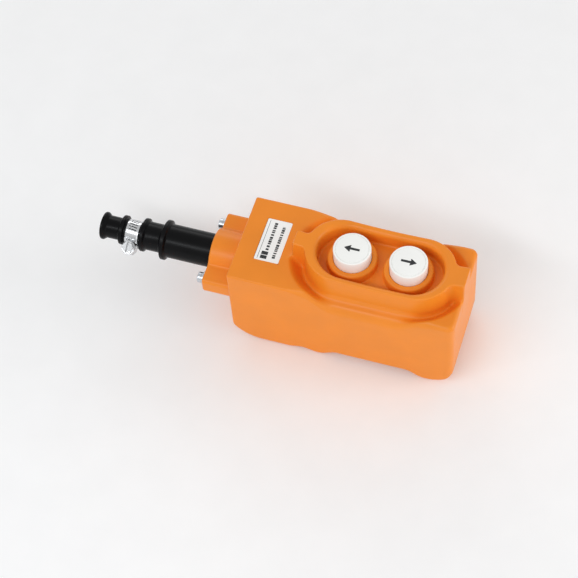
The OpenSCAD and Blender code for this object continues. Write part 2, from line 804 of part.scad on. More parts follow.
module contact_block() {
    color("#2b2b2b") difference() {
        union() {
            translate([-block_len / 2, -block_w / 2, block_z0])
                cube([block_len, block_w, block_z1 - block_z0]);
            for (s = [-1, 1]) translate([-strip_w / 2 - ledge_side,
                s > 0 ? block_w / 2 - cut : -block_w / 2 - ledge_w, block_z0])
                cube([strip_w + 2 * ledge_side, ledge_w + cut, slot_z0 - block_z0]);
        }
        translate([0, 0, block_z0 - cut]) 
            cylinder(r = plunger_tip_r + slide_play, h = slot_z0 - block_z0 + 2 * cut);
        translate([0, 0, slot_z0]) cylinder(r = plunger_r + slide_play, h = block_z1);
        translate([0, 0, spring_seat]) cylinder(r = spring_r + spring_play, h = block_z1);
        translate([contact_slot_x, -block_w / 2 + block_wall, slot_z0])
            cube([block_len, block_w - 2 * block_wall, slot_z1 - slot_z0]);
        for (s = [-1, 1]) translate([-strip_w / 2 - eps, s > 0 ? block_w / 2 - 3 : -block_w / 2 - ledge_w,
            slot_z0]) cube([strip_w + 2 * eps, ledge_w + 3, strip_t + eps]);
        for (s = [-1, 1]) translate([0, s * terminal_y, block_z0 - cut])
            cylinder(r = terminal_r + eps, h = terminal_hole_depth + cut);
    }
}
module fixed_contacts() {
    color("peru") for (s = [-1, 1]) difference() {
        union() {
            translate([-strip_w / 2, s > 0 ? strip_y0 : -block_w / 2 - ledge_w + 4 * eps, slot_z0])
                cube([strip_w, block_w / 2 + ledge_w - strip_y0 - 4 * eps, strip_t]);
            translate([0, s * contact_y, slot_z0 + strip_t - 2 * eps])
                cylinder(r = contact_r, h = contact_h);
        }
        translate([0, s * terminal_y, slot_z0 - cut]) cylinder(r = tray_hole_r, h = 4 * cut);
    }
}

module terminal_screws() {
    color("gainsboro") for (s = [-1, 1])
        small_screw(0, s * terminal_y, slot_z0 + strip_t, terminal_r, terminal_len);
}

module seal() {
    z0 = well_floor - under_well;
    color("#333333") difference() {
        translate([0, 0, z0]) cylinder(r = seal_r - eps, h = seal_t - eps);
        translate([0, 0, z0 - cut]) cylinder(r = button_r + seal_play, h = seal_t + 2 * cut);
    }
}

// The first button raises the hook and points to the cable, the second lowers it.
module at_up() {
    at_body() translate([button_xs[0], 0, 0]) rotate([0, 0, 180]) children();
}

module at_down() {
    at_body() translate([button_xs[1], 0, 0]) children();
}

body_shell();
end_cap();
cap_gasket();
cap_screws();
cap_washers();
cap_inserts();
cable_sleeve();
sleeve_retainer();
retainer_screws();
clamp_band();
clamp_housing();
clamp_screw();
label_plate();
label_print();
contact_chassis();
chassis_screws();
cord_clamp_bar();
cord_clamp_screws();
earth_screw();
at_up() button_cap();  // up_button_cap
at_up() button_arrow();  // up_button_arrow
at_up() plunger();  // up_plunger
at_up() bridge();  // up_bridge
at_up() bridge_clip();  // up_bridge_clip
at_up() return_spring();  // up_return_spring
at_up() contact_block();  // up_contact_block
at_up() fixed_contacts();  // up_fixed_contacts
at_up() terminal_screws();  // up_terminal_screws
at_up() seal();  // up_seal
at_down() button_cap();  // down_button_cap
at_down() button_arrow();  // down_button_arrow
at_down() plunger();  // down_plunger
at_down() bridge();  // down_bridge
at_down() bridge_clip();  // down_bridge_clip
at_down() return_spring();  // down_return_spring
at_down() contact_block();  // down_contact_block
at_down() fixed_contacts();  // down_fixed_contacts
at_down() terminal_screws();  // down_terminal_screws
at_down() seal();  // down_seal
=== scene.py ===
"""A two-button pendant control station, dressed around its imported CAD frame.

Lengths in the shape functions are millimetres in housing coordinates: x runs from the housing's
cable end (0) to its far end (150), z runs up from the surface it lies on. place() turns them into
metres in the part's own frame.
"""
import functools
import math

import bpy
import numpy as np
from mathutils import Matrix, Vector


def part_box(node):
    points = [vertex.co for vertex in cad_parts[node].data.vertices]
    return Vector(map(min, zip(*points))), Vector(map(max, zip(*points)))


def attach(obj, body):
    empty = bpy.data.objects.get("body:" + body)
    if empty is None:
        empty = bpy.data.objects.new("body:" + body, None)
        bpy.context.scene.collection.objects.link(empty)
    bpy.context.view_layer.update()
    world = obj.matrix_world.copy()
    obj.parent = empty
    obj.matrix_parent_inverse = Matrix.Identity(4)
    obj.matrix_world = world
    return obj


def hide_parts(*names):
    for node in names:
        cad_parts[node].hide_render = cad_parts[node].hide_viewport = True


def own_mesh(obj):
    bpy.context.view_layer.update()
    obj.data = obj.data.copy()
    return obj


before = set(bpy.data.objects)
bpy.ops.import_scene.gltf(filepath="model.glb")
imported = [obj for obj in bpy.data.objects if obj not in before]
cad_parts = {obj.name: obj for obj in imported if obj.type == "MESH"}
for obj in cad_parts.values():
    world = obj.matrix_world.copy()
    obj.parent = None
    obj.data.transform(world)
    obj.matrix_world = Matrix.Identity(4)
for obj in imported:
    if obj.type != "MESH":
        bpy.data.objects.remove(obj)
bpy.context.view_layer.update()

MM = 0.001
HOUSING_START = -25.5      # x of the housing's cable end in the part's own frame

# ---- sizes in mm ----
# The main ones are the CAD's. Where slopes start, and what lies behind a visible edge, may differ
# from it by a few mm, because the surface here has fillets that the CAD leaves out.
LENGTH = 150.0
HALF_WIDTH = 32.25
FACE_Z = 72.0              # label face
MOAT_Z = 62.5              # floor of the moat around the guard
FAR_Z = 70.0               # far end of the front
RIM_LOW_Z = 81.2           # rim of the button guard, beside the buttons
RIM_LOW_X = 97.0
RIM_SWEEP_R = 406.0        # the rim sweeps up towards the tabs
WELL_Z = 70.0              # floor inside the guard
COLLAR_Z = 77.5            # raised collars around the buttons
GUARD_ENDS = (68.2, 118.8)
WELL_ENDS = (71.2, 115.8)
GUARD_R = 23.6
GUARD_DRAFT = 0.03         # how much the guard widens for each mm below its rim
GUARD_FOOT_Z = 58.0        # it starts inside the block
NEAR_TAB_X = 37.0          # the near tab runs from here to the guard
NEAR_TAB_HALF = 5.5        # half widths of the two tabs
FAR_TAB_HALF = 7.5
WELL_R = 19.0
COLLAR_R = 16.0
BUTTON_X = {"up": 75.0, "down": 112.0}
BUTTON_R = 12.2
BUTTON_Z = 86.5
AXIS_Z = 45.5              # height of the sleeve's axis
NECK_LENGTH = 20.0
NECK_R = 16.0
SCREW_Y = 22.0
WASHERS = 1.8              # height of the two washers under each cap screw
SLEEVE_R = 11.4
BORE_R = 5.5

MOAT_R = 25.0              # the moat's floor is flat out to here
LABEL_END_X = 52.0         # the label plateau starts to fall away here
FAR_START_X = 110.0        # the far end starts to rise here
HEEL_R = 22.7              # rounding of the back at the cable end, which starts at HEEL_X
HEEL_X = 20.0
TOE_R = 20.2               # and at the far end
TOE_X = 132.0
PALM_DEPTH = 2.0
PALM_X = 48.0
GROOVE_DEPTH = 5.0         # finger groove
GROOVE_X = (59.0, 131.0)

INSIDE_HALF = 29.0         # half width of the space inside
INSIDE_X = 20.0            # it is at its full depth from here on
INSIDE_FLOOR_Z = 8.2
INSIDE_ROOF_Z = 61.8
INSIDE_R = 4.0             # rounding of its corners
END_WALL = 3.2
FACE_WALL = 3.4
THROAT_Z = 22.0            # floor of the shallower stretch behind the end cap
MOUTH_HALF = 25.5
PILLAR_X = (8.5, 23.5)     # pillars that hold the threaded inserts
REST_X = (134.0, 148.4)    # rest for the far end of the contact tray
REST_TOP_Z = 35.95
GUIDE_R = 12.4             # bore that guides a button
SKIRT_R = 14.7             # room for the flange on a button's skirt
OUTSIDE = -9.0             # an x that is clear of the housing at its cable end

LABEL_X = (13.1, 29.5)     # the label, in a recess 0.1 mm larger
LABEL_Y = (-14.7, 17.7)
LABEL_FLOOR_Z = 71.6

CLAMP_X = -76.65
CLAMP_ANGLE = math.radians(117)   # from the top towards -Y
BAND_R = 8.25
BAND_HALF = 4.5            # half width of the strip
SLOT_HALF = 2.9            # half length of the slots in it
WORM_AXIS_R = 11.45


# ---- shape functions: negative inside, distance in mm ----
def ease(t):
    """Goes smoothly from 0 to 1 as t does."""
    t = np.clip(t, 0.0, 1.0)
    return t * t * (3 - 2 * t)


def rise(v, start, length):
    """0 up to the start, 1 from this length past it, and smooth between."""
    return ease((v - start) / length)


def roll_off(past, r):
    """How far a round of radius r has curved away, at this distance past its start."""
    return r - np.sqrt(np.maximum(r ** 2 - np.maximum(past, 0) ** 2, 0))


def overlap(*shapes):
    """Where all the shapes overlap, with sharp edges."""
    return functools.reduce(np.maximum, shapes)


def together(*shapes):
    """All the shapes, with sharp edges."""
    return functools.reduce(np.minimum, shapes)


def join(a, b, r):
    """Both shapes, with a fillet of radius r where they meet."""
    return np.maximum(r, np.minimum(a, b)) - np.hypot(np.maximum(r - a, 0), np.maximum(r - b, 0))


def common(a, b, r):
    """Where the two shapes overlap, with its edge rounded to radius r."""
    return np.minimum(-r, np.maximum(a, b)) + np.hypot(np.maximum(r + a, 0), np.maximum(r + b, 0))


def without(a, b, r):
    """The first shape with the second cut out of it, and the cut's edge rounded."""
    return common(a, -b, r)


def slab(v, low, high):
    """The space between two values of one coordinate."""
    return np.maximum(low - v, v - high)


def box(at, low, high, r):
    """A box with its edges rounded, or with two coordinates an endless bar along the third."""
    offset = [np.abs(v - (b + a) / 2) - ((b - a) / 2 - r) for v, a, b in zip(at, low, high)]
    outside = np.sqrt(sum(np.maximum(q, 0) ** 2 for q in offset))
    return outside + np.minimum(overlap(*offset), 0) - r


def racetrack(x, y, ends=GUARD_ENDS):
    """Distance from the line between the centres of the two round ends."""
    return np.hypot(x - np.clip(x, *ends), y)


# ---- meshing ----
def steps(*spans):
    """Grid stations: each span is (start, end, step), and the spans follow on."""
    parts = [np.linspace(a, b, max(2, round((b - a) / s) + 1)) for a, b, s in spans]
    return np.unique(np.concatenate(parts))


def slope(field, p, reach=0.02):
    """Gradient of the field at each point."""
    moves = np.eye(3) * reach
    return np.stack([
        field(*(p + m).T) - field(*(p - m).T) for m in moves
    ], axis=1) / (2 * reach)


def skin(field, xs, ys, zs, relax=3):
    """Vertices, faces and normals of the surface where the field is 0.

    Each grid cell that the surface crosses gets one vertex, at the mean of its crossings, and each
    crossed grid edge gets one face. The vertices are then evened out and moved onto the surface.
    """
    grid = np.stack(np.meshgrid(xs, ys, zs, indexing="ij"), axis=-1)
    value = field(grid[..., 0], grid[..., 1], grid[..., 2])
    inside = value < 0
    cells = tuple(n - 1 for n in value.shape)
    total = np.zeros((int(np.prod(cells)), 3))
    count = np.zeros(len(total))
    faces = []
    for axis in range(3):
        first = [slice(None)] * 3
        second = [slice(None)] * 3
        first[axis] = slice(0, -1)
        second[axis] = slice(1, None)
        first, second = tuple(first), tuple(second)
        hit = inside[first] != inside[second]
        a, b = value[first][hit], value[second][hit]
        point = grid[first][hit] + (a / (a - b))[:, None] * (grid[second][hit] - grid[first][hit])
        index = np.argwhere(hit)
        side = [(axis + 1) % 3, (axis + 2) % 3]
        corners = []
        for du, dv in ((0, 0), (1, 0), (1, 1), (0, 1)):
            cell = index.copy()
            cell[:, side[0]] -= du
            cell[:, side[1]] -= dv
            flat = np.ravel_multi_index(tuple(cell.T), cells)
            np.add.at(total, flat, point)
            np.add.at(count, flat, 1)
            corners.append(flat)
        quads = np.stack(corners, axis=1)
        quads[~inside[first][hit]] = quads[~inside[first][hit]][:, ::-1]
        faces.append(quads)
    used = np.flatnonzero(count)
    number = np.zeros(len(total), int)
    number[used] = np.arange(len(used))
    p = total[used] / count[used][:, None]
    faces = number[np.concatenate(faces)]
    step = min(np.diff(v).max() for v in (xs, ys, zs))
    for turn in range(relax + 2):
        if turn < relax:
            around = np.zeros_like(p)
            ways = np.zeros(len(p))
            for k in range(4):
                a, b = faces[:, k], faces[:, (k + 1) % 4]
                np.add.at(around, a, p[b])
                np.add.at(ways, a, 1)
            p = p + 0.5 * (around / ways[:, None] - p)
        for _ in range(2):
            g = slope(field, p)
            size = np.maximum((g * g).sum(1), 0.05)
            move = -(field(*p.T) / size)[:, None] * g
            far = np.maximum(np.linalg.norm(move, axis=1) / step, 1)[:, None]
            p = p + move / far
    g = slope(field, p)
    normals = g / np.maximum(np.linalg.norm(g, axis=1), 1e-6)[:, None]
    return p, faces, normals


def place(p):
    """Millimetres in housing coordinates to metres in the part's own frame."""
    return (np.asarray(p, float) + (HOUSING_START, 0, 0)) * MM


def new_mesh(name, points, faces, normals=None):
    mesh = bpy.data.meshes.new(name)
    mesh.from_pydata(np.asarray(points).tolist(), [], [list(map(int, f)) for f in faces])
    mesh.update()
    mesh.polygons.foreach_set("use_smooth", [True] * len(mesh.polygons))
    if normals is not None:
        mesh.normals_split_custom_set_from_vertices(np.asarray(normals).tolist())
    piece = bpy.data.objects.new(name, mesh)
    bpy.context.scene.collection.objects.link(piece)
    return piece


def finish_piece(piece, body, slot, material, *nodes):
    """Hangs a piece on its body, in place of the CAD nodes it stands for."""
    piece.data.materials.clear()
    piece.data.materials.append(material)
    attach(piece, body)
    if nodes:
        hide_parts(*nodes)
    return piece


def lathe(profile, turns=96):
    """Points and faces of a closed profile of (distance along, radius) turned about the x axis."""
    points = []
    for i in range(turns):
        a = math.tau * i / turns
        points += [(d, r * math.sin(a), r * math.cos(a)) for d, r in profile]
    n = len(profile)
    faces = []
    for i in range(turns):
        j = (i + 1) % turns
        for k in range(n):
            m = (k + 1) % n
            faces.append((i * n + k, i * n + m, j * n + m, j * n + k))
    return np.array(points), faces


def rounded(profile, radii, parts=4):
    """The closed profile with each corner turned into an arc of its own radius."""
    out = []
    n = len(profile)
    for i in range(n):
        before, here, after = (Vector(profile[(i + k) % n]) for k in (-1, 0, 1))
        u, v = (before - here), (after - here)
        bend = u.angle(v) / 2
        r = min(radii[i], 0.45 * math.tan(bend) * min(u.length, v.length))
        if r < 0.02:
            out.append(tuple(here))
            continue
        reach = r / math.tan(bend)
        middle = here + (u.normalized() + v.normalized()).normalized() * (r / math.sin(bend))
        start, end = here + u.normalized() * reach - middle, here + v.normalized() * reach - middle
        for k in range(parts + 1):
            t = k / parts
            ray = (start * (1 - t) + end * t).normalized() * r
            out.append(tuple(middle + ray))
    return out


def extrude(outline, low, high):
    """Points and faces of a flat outline raised from one height to another."""
    n = len(outline)
    points = [(a, b, h) for h in (low, high) for a, b in outline]
    faces = [tuple(range(n))[::-1], tuple(range(n, 2 * n))]
    faces += [(i, (i + 1) % n, n + (i + 1) % n, n + i) for i in range(n)]
    return points, faces


# ---- materials ----
def material(name, color, rough, vary=0.06, rough_vary=0.08, grain=900.0, bump=0.02, metallic=0.0,
             coat=0.0, specular=0.5, blotch=40.0):
    """A plastic, rubber or metal with uneven colour, uneven gloss and a fine grain."""
    m = bpy.data.materials.new(name)
    m.use_nodes = True
    nodes, links = m.node_tree.nodes, m.node_tree.links
    shader = nodes["Principled BSDF"]
    shader.inputs["Metallic"].default_value = metallic
    shader.inputs["Coat Weight"].default_value = coat
    shader.inputs["Coat Roughness"].default_value = 0.15
    shader.inputs["Specular IOR Level"].default_value = specular
    coords = nodes.new("ShaderNodeTexCoord")
    cloud = nodes.new("ShaderNodeTexNoise")
    cloud.inputs["Scale"].default_value = blotch
    cloud.inputs["Detail"].default_value = 4
    links.new(coords.outputs["Object"], cloud.inputs["Vector"])
    tint = nodes.new("ShaderNodeValToRGB")
    low, high = tint.color_ramp.elements
    low.position, high.position = 0.3, 0.7
    low.color = [c * (1 - vary) for c in color] + [1]
    high.color = [min(1, c * (1 + vary)) for c in color] + [1]
    links.new(cloud.outputs["Fac"], tint.inputs["Fac"])
    links.new(tint.outputs["Color"], shader.inputs["Base Color"])
    fine = nodes.new("ShaderNodeTexNoise")
    fine.inputs["Scale"].default_value = grain
    fine.inputs["Detail"].default_value = 3
    links.new(coords.outputs["Object"], fine.inputs["Vector"])
    gloss = nodes.new("ShaderNodeMapRange")
    gloss.inputs["To Min"].default_value = rough - rough_vary
    gloss.inputs["To Max"].default_value = rough + rough_vary
    links.new(cloud.outputs["Fac"], gloss.inputs["Value"])
    links.new(gloss.outputs["Result"], shader.inputs["Roughness"])
    relief = nodes.new("ShaderNodeBump")
    relief.inputs["Strength"].default_value = bump
    relief.inputs["Distance"].default_value = 0.0004
    links.new(fine.outputs["Fac"], relief.inputs["Height"])
    links.new(relief.outputs["Normal"], shader.inputs["Normal"])
    return m


ORANGE = material("moulded_orange", (0.88, 0.262, 0.02), 0.36, vary=0.035, grain=1400, bump=0.07,
                  specular=0.3)
WHITE = material("button_white", (0.96, 0.96, 0.93), 0.34, vary=0.02, grain=1200, bump=0.04)
LABEL = material("label_white", (0.96, 0.96, 0.94), 0.45, vary=0.02, grain=2500, bump=0.03)
INK = material("legend_ink", (0.018, 0.02, 0.022), 0.5, vary=0.2, grain=2500, bump=0.05)
RUBBER = material("sleeve_rubber", (0.003, 0.003, 0.0035), 0.3, vary=0.25, grain=1100, bump=0.06,
                  specular=0.12)
SEAL = material("seal_rubber", (0.03, 0.03, 0.032), 0.6, vary=0.2, grain=1500, bump=0.2)
BRIGHT = material("bright_steel", (0.72, 0.73, 0.74), 0.22, vary=0.08, grain=2000, bump=0.05, metallic=1)
ZINC = material("zinc_steel", (0.6, 0.63, 0.66), 0.33, vary=0.14, grain=1300, bump=0.08, metallic=1)
BRASS = material("contact_brass", (0.78, 0.5, 0.2), 0.3, vary=0.12, grain=1500, bump=0.06, metallic=1)
BLOCK = material("block_black", (0.025, 0.026, 0.028), 0.5, vary=0.2, grain=1300, bump=0.12)

# CAD nodes that keep their own shape
KEPT = {
    SEAL: ("cap_gasket", "up_seal", "down_seal"),
    ZINC: ("sleeve_retainer", "retainer_screws", "contact_chassis", "chassis_screws",
           "cord_clamp_screws", "up_bridge_clip", "down_bridge_clip", "up_terminal_screws",
           "down_terminal_screws"),
    BRASS: ("cap_inserts", "earth_screw", "up_bridge", "down_bridge", "up_fixed_contacts",
            "down_fixed_contacts"),
    BLOCK: ("cord_clamp_bar", "up_plunger", "down_plunger", "up_contact_block",
            "down_contact_block"),
}
for kept_material, names in KEPT.items():
    for name in names:
        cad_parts[name].data.materials.clear()
        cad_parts[name].data.materials.append(kept_material)


# ---- housing ----
def deck_height(x, y):
    """Height of the front: a label plateau and a far end, with a moat around the guard.

    Beside the guard's straight walls the moat is open to the sides.
    """
    away = racetrack(x, y)
    to_label = rise(away, MOAT_R, 10) * (1 - rise(x, LABEL_END_X, 20))
    to_far_end = rise(away, MOAT_R, 8) * rise(x, FAR_START_X, 18)
    return MOAT_Z + (FACE_Z - MOAT_Z) * to_label + (FAR_Z - MOAT_Z) * to_far_end


def back_height(x):
    """Height of the underside: heel, palm hollow, finger groove and toe."""
    heel = roll_off(HEEL_X - x, HEEL_R)
    toe = roll_off(x - TOE_X, TOE_R)
    palm = PALM_DEPTH * ease(1 - np.abs(x - PALM_X) / 10)
    groove = GROOVE_DEPTH * rise(x, GROOVE_X[0], 13) * ease((GROOVE_X[1] - x) / 13)
    return heel + toe + palm + groove


def guard_field(x, y, z):
    """The guard around the buttons with its two tabs, under a rim that sweeps up to them."""
    rim = RIM_LOW_Z + (x - RIM_LOW_X) ** 2 / (2 * RIM_SWEEP_R)
    draft = GUARD_DRAFT * (rim - z)
    ring = racetrack(x, y) - GUARD_R - draft
    near_tab = overlap(slab(x, NEAR_TAB_X - draft, GUARD_ENDS[0]), np.abs(y) - NEAR_TAB_HALF - draft)
    far_tab = overlap(slab(x, GUARD_ENDS[1], LENGTH + 9), np.abs(y) - FAR_TAB_HALF - draft)
    side = join(join(ring, near_tab, 2.5), far_tab, 2.5)
    # the factor makes up for the slope that the draft adds
    return common(side * 0.99, z - rim, 1.1)


def block_field(x, y, z):
    """The housing's block, without the guard."""
    plan = common(common(np.abs(y) - HALF_WIDTH, x - LENGTH, 5), -x, 1.4)
    # the front's edges are crisp at the label, soft beside the guard and firmer at the far end
    edge = 1.2 + 5.3 * rise(x, 36, 26) - 3.5 * rise(x, 118, 24)
    block = common(plan, back_height(x) - z, 4)
    # the factor makes up for the slopes of the moat
    return common(block, (z - deck_height(x, y)) * 0.85, edge)


def hollow_field(x, y, z):
    """The space inside, around the insert pillars and the tray's rest."""
    ya = np.abs(y)
    roof = np.minimum(INSIDE_ROOF_Z, deck_height(x, y) - FACE_WALL)
    half = ya - INSIDE_HALF
    chamber = overlap(slab(x, INSIDE_X, LENGTH - END_WALL),
                      common(half, slab(z, INSIDE_FLOOR_Z, roof), INSIDE_R))
    throat = overlap(slab(x, 5, INSIDE_X + 5), common(half, slab(z, THROAT_Z, roof), INSIDE_R))
    loft = overlap(racetrack(x, y, WELL_ENDS) - (WELL_R + 1), slab(z, 54, WELL_Z - 3))
    mouth = overlap(slab(x, OUTSIDE, 6), ya - MOUTH_HALF, slab(z, THROAT_Z, INSIDE_ROOF_Z))
    pillars = overlap(slab(x, *PILLAR_X), slab(ya, 17.5, 31), np.abs(z - AXIS_Z) - 5.5)
    rest = overlap(slab(x, *REST_X), ya - 10, slab(z, 6, REST_TOP_Z))
    return overlap(together(chamber, throat, loft, mouth), -together(pillars, rest))


def housing_field(x, y, z):
    guard = np.maximum(guard_field(x, y, z), GUARD_FOOT_Z - z)
    body = join(block_field(x, y, z), guard, 3.5)
    body = common(body, x - LENGTH - 0.2, 0.8)
    # well, with a raised collar around each button
    well = common(racetrack(x, y, WELL_ENDS) - WELL_R, WELL_Z - z, 1.5)
    body = without(body, well, 3.6)
    from_button = [np.hypot(x - bx, y) for bx in BUTTON_X.values()]
    for away in from_button:
        collar = common(common(away - COLLAR_R, z - COLLAR_Z, 1.6), WELL_Z - 2 - z, 0.2)
        body = join(body, collar, 1.0)
    body = np.maximum(body, -hollow_field(x, y, z))
    for away in from_button:
        body = without(body, np.maximum(away - GUIDE_R, GUARD_FOOT_Z - z), 0.5)
        body = np.maximum(body, -np.maximum(away - SKIRT_R, slab(z, GUARD_FOOT_Z, 68.3)))
    # holes for the inserts, rebate for the end cap and recess for the label
    insert = np.maximum(np.hypot(np.abs(y) - SCREW_Y, z - AXIS_Z) - 3.0, slab(x, 5, 22))
    rebate = box((x, y, z), (OUTSIDE, -28.7, 17.4), (4.2, 28.7, 66.6), 3)
    middle = (LABEL_Y[0] + LABEL_Y[1]) / 2
    half_label = (LABEL_Y[1] - LABEL_Y[0]) / 2 + 0.1
    label = overlap(slab(x, LABEL_X[0] - 0.1, LABEL_X[1] + 0.1), np.abs(y - middle) - half_label,
                    LABEL_FLOOR_Z - z)
    return overlap(body, -insert, -rebate, -label)


def build_housing():
    xs = steps((-1, 10, 0.8), (10, 36, 1.0), (36, 148, 0.8), (148, 151, 0.75))
    ys = steps((-33, 33, 0.8))
    zs = steps((-1, 8, 0.9), (8, 52, 1.6), (52, 60, 0.9), (60, 87.0, 0.7))
    points, faces, normals = skin(housing_field, xs, ys, zs)
    shell = new_mesh("housing_shell", place(points), faces, normals)
    finish_piece(shell, "housing", "housing_orange", ORANGE, "body_shell")


# ---- end cap ----
def cap_field(x, y, z):
    """The end cap: a plate with a neck for the sleeve and a boss for each screw."""
    ya = np.abs(y)
    away = np.hypot(y, z - AXIS_Z)
    boss = box((ya, z), (9, AXIS_Z - 6.3), (28.3, AXIS_Z + 6.3), 2.6)
    spout = common(join(away - NECK_R, boss, 1.2), slab(x, -NECK_LENGTH, 2), 1.2)
    flat = box((x, y, z), (0.1, -28.5, 17.6), (3, 28.5, 66.4), 0.5)
    body = join(spout, flat, 0.8)
    collar = np.maximum(away - 16.2, slab(x, 2, 6))
    lugs = overlap(slab(x, 2, 17), np.abs(ya - 11) - 4, slab(z, 30, 36))
    body = together(body, collar, lugs)
    bore = np.maximum(away - SLEEVE_R - 0.1, x - 9)
    seat = np.maximum(away - 13.0, 3 - x)
    body = without(body, np.minimum(bore, seat), 0.5)
    return np.maximum(body, -(np.hypot(ya - SCREW_Y, z - AXIS_Z) - 2.25))


def build_cap():
    xs = steps((-21, 4, 0.55), (4, 18, 1.0))
    ys = steps((-29.2, 29.2, 0.6))
    zs = steps((17, 28, 1.0), (28, 63, 0.6), (63, 67, 1.0))
    points, faces, normals = skin(cap_field, xs, ys, zs)
    cap = new_mesh("cable_cap", place(points), faces, normals)
    finish_piece(cap, "housing", "housing_orange", ORANGE, "end_cap")


def head_field(x, y, z):
    """A domed screw head that faces -x, with a cross recess, on a threaded shank."""
    away = np.hypot(y, z)
    dome = np.sqrt((x - 3.2) ** 2 + away ** 2) - 6.6
    head = common(np.maximum(dome, away - 3.55), slab(x, -3.2, 0), 0.35)
    cross = np.minimum(np.maximum(np.abs(y) - 0.5, np.abs(z) - 2.2),
                       np.maximum(np.abs(z) - 0.5, np.abs(y) - 2.2))
    head = without(head, np.maximum(cross, x + 1.9), 0.15)
    # the thread's height fades in along the shank
    pitch = 0.7
    wave = np.abs(((x / pitch - np.arctan2(z, y) / math.tau) % 1) - 0.5)
    shank = np.maximum(away - 1.7 - 0.5 * wave * ease((x - 15) / 4), slab(x, -0.5, 34))
    return np.minimum(head, shank)


def build_cap_screws():
    points, faces, normals = skin(head_field, steps((-3.6, 1, 0.15), (1, 35, 0.35)),
                                  steps((-4, 4, 0.2)), steps((-4, 4, 0.2)), relax=1)
    # a flat washer with a spring washer on it
    ring = rounded([(-WASHERS, 2.25), (-WASHERS, 3.7), (-0.85, 3.7), (-0.8, 4.6), (0, 4.6), (0, 2.25)],
                   [0.1, 0.15, 0.1, 0.2, 0.2, 0.1])
    washer, washer_faces = lathe(ring, 64)
    both, both_faces, both_normals, rings, ring_faces = [], [], [], [], []
    for side in (-1, 1):
        screw_at = np.array((-NECK_LENGTH - WASHERS, side * SCREW_Y, AXIS_Z))
        both_faces.append(faces + len(points) * len(both))
        both.append(points + screw_at)
        both_normals.append(normals)
        ring_faces.append(np.array(washer_faces) + len(washer) * len(rings))
        rings.append(washer + np.array((-NECK_LENGTH, side * SCREW_Y, AXIS_Z)))
    screws = new_mesh("cap_screws_zinc", place(np.concatenate(both)), np.concatenate(both_faces),
                      np.concatenate(both_normals))
    finish_piece(screws, "housing", "zinc_steel", ZINC, "cap_screws")
    washers = new_mesh("cap_washers_zinc", place(np.concatenate(rings)), np.concatenate(ring_faces))
    soften(washers)
    finish_piece(washers, "housing", "zinc_steel", ZINC, "cap_washers")


def soften(piece, angle=35):
    """Keeps crisp edges crisp while curved faces shade smooth."""
    bpy.context.view_layer.objects.active = piece
    piece.select_set(True)
    bpy.ops.object.shade_smooth_by_angle(angle=math.radians(angle))
    piece.select_set(False)


# ---- sleeve ----
def build_sleeve():
    """The ribbed rubber sleeve, turned about its axis from a half section."""
    # each corner's distance from the housing's cable end, its radius and its rounding
    section = [
        (-99.0, BORE_R, 0.3), (-99.0, 9.3, 0.9), (-97.2, 9.3, 0.9), (-95.0, 7.6, 1.2),
        (-86.2, 7.6, 1.0), (-85.4, 10.0, 0.5), (-82.9, 10.0, 0.5), (-82.7, 8.2, 0.3),
        (-70.8, 8.2, 0.3), (-70.6, 11.3, 0.5), (-68.3, 11.3, 0.5), (-67.2, 9.6, 0.8),
        (-57.0, 9.6, 1.0), (-55.3, 13.5, 0.5), (-52.9, 13.5, 0.5), (-51.8, 11.4, 0.8),
        (3.0, SLEEVE_R, 0.1), (3.0, 12.9, 0.1), (6.0, 12.9, 0.1), (6.0, BORE_R, 0.1),
    ]
    profile = rounded([(d, r) for d, r, _ in section], [c for _, _, c in section], 5)
    points, faces = lathe(profile, 128)
    points[:, 2] += AXIS_Z
    sleeve = new_mesh("sleeve_rubber_moulded", place(points), faces)
    soften(sleeve, 40)
    finish_piece(sleeve, "housing", "sleeve_rubber", RUBBER, "cable_sleeve")


# ---- hose clamp: local z points from the sleeve's axis to the worm ----
def clamp_frame():
    """Where the clamp sits on the sleeve, and which way its worm faces."""
    turn = Matrix.Rotation(CLAMP_ANGLE, 4, "X")
    return Matrix.Translation(((CLAMP_X + HOUSING_START) * MM, 0, AXIS_Z * MM)) @ turn


def at_clamp(points):
    """Millimetres in the clamp's own coordinates to metres in the part's frame."""
    m = np.array(clamp_frame())
    return (np.asarray(points) * MM) @ m[:3, :3].T + m[:3, 3]


def turn_normals(normals):
    return np.asarray(normals) @ np.array(clamp_frame())[:3, :3].T


def strip(radius, start, end, slots_from, slots_to, pitch, lean=0.09):
    """A perforated steel strip bent round the sleeve, as points and faces of its outer skin.

    Angles are in degrees from the worm. The slots lean as the worm's thread does.
    """
    across = (-BAND_HALF, -SLOT_HALF, SLOT_HALF, BAND_HALF)
    marks = [start]
    slots = set()
    a = slots_from
    while a < slots_to:
        marks += [a, a + pitch * 0.36]
        slots.add(round(a, 3))
        a += pitch
    marks.append(end)
    angles = []
    for a, b in zip(marks, marks[1:]):
        n = max(1, int(math.ceil((b - a) / 6)))
        angles += [a + (b - a) * k / n for k in range(n)]
    angles.append(end)
    points, faces = [], []
    for a in angles:
        for v in across:
            t = math.radians(a) + lean * max(-SLOT_HALF, min(SLOT_HALF, v)) / 5
            points.append((v, -radius * math.sin(t), radius * math.cos(t)))
    for i in range(len(angles) - 1):
        open_here = round(angles[i], 3) in slots
        for k in range(3):
            if open_here and k == 1:
                continue
            p = i * 4 + k
            faces.append((p, p + 1, p + 5, p + 4))
    return np.array(points), faces


